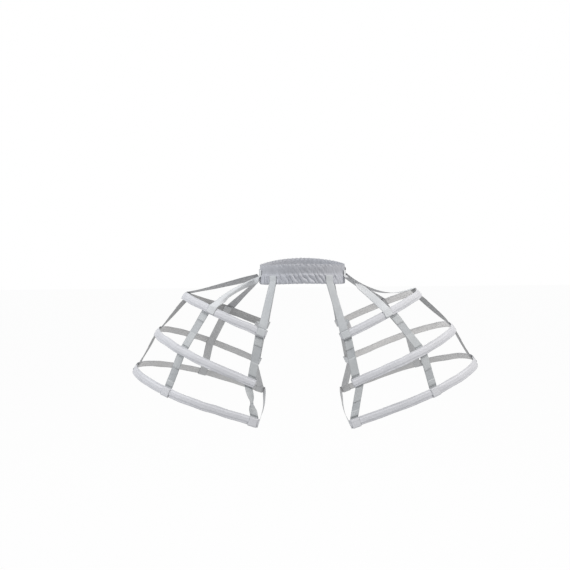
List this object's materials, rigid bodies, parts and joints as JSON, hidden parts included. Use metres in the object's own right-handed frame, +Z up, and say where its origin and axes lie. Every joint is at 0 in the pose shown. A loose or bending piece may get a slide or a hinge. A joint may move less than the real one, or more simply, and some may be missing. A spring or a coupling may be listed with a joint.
{
  "type": "pannier crinoline cage",
  "caption": "Pannier crinoline cage: a gathered elastic waistband with ribbon straps carries a basket of boned, ribbon-cased hoops over each hip to hold a skirt out.",
  "frame": {"origin": "middle of the waist opening, at half the height of the waistband", "axes": "+X to the wearer's left, +Z up along the body, -Y to the front"},
  "size_m": [0.8648, 0.2974, 0.3782],
  "materials": {
    "band_cloth": "white satin weave, gathered",
    "elastic": "white woven elastic",
    "casing_ribbon": "white satin ribbon, sewn along both edges",
    "boning": "plain translucent white",
    "satin_ribbon": "white satin ribbon"
  },
  "bodies": {
    "root": {"waistband_casing": "band_cloth", "waist_elastic": "elastic", "left_top_casing": "casing_ribbon", "left_top_boning": "boning", "left_top_tie": "satin_ribbon", "left_mid_casing": "casing_ribbon", "left_mid_boning": "boning", "left_mid_tie": "satin_ribbon", "left_bottom_casing": "casing_ribbon", "left_bottom_boning": "boning", "left_bottom_tie": "satin_ribbon", "right_top_casing": "casing_ribbon", "right_top_boning": "boning", "right_top_tie": "satin_ribbon", "right_mid_casing": "casing_ribbon", "right_mid_boning": "boning", "right_mid_tie": "satin_ribbon", "right_bottom_casing": "casing_ribbon", "right_bottom_boning": "boning", "right_bottom_tie": "satin_ribbon", "left_front_strap": "satin_ribbon", "left_front_side_strap": "satin_ribbon", "left_side_strap": "satin_ribbon", "left_back_side_strap": "satin_ribbon", "left_back_strap": "satin_ribbon", "right_front_strap": "satin_ribbon", "right_front_side_strap": "satin_ribbon", "right_side_strap": "satin_ribbon", "right_back_side_strap": "satin_ribbon", "right_back_strap": "satin_ribbon", "left_front_tape": "satin_ribbon", "left_front_side_tape": "satin_ribbon", "left_side_tape": "satin_ribbon", "left_back_side_tape": "satin_ribbon", "left_back_tape": "satin_ribbon", "right_front_tape": "satin_ribbon", "right_front_side_tape": "satin_ribbon", "right_side_tape": "satin_ribbon", "right_back_side_tape": "satin_ribbon", "right_back_tape": "satin_ribbon"}
  },
  "joints": []
}
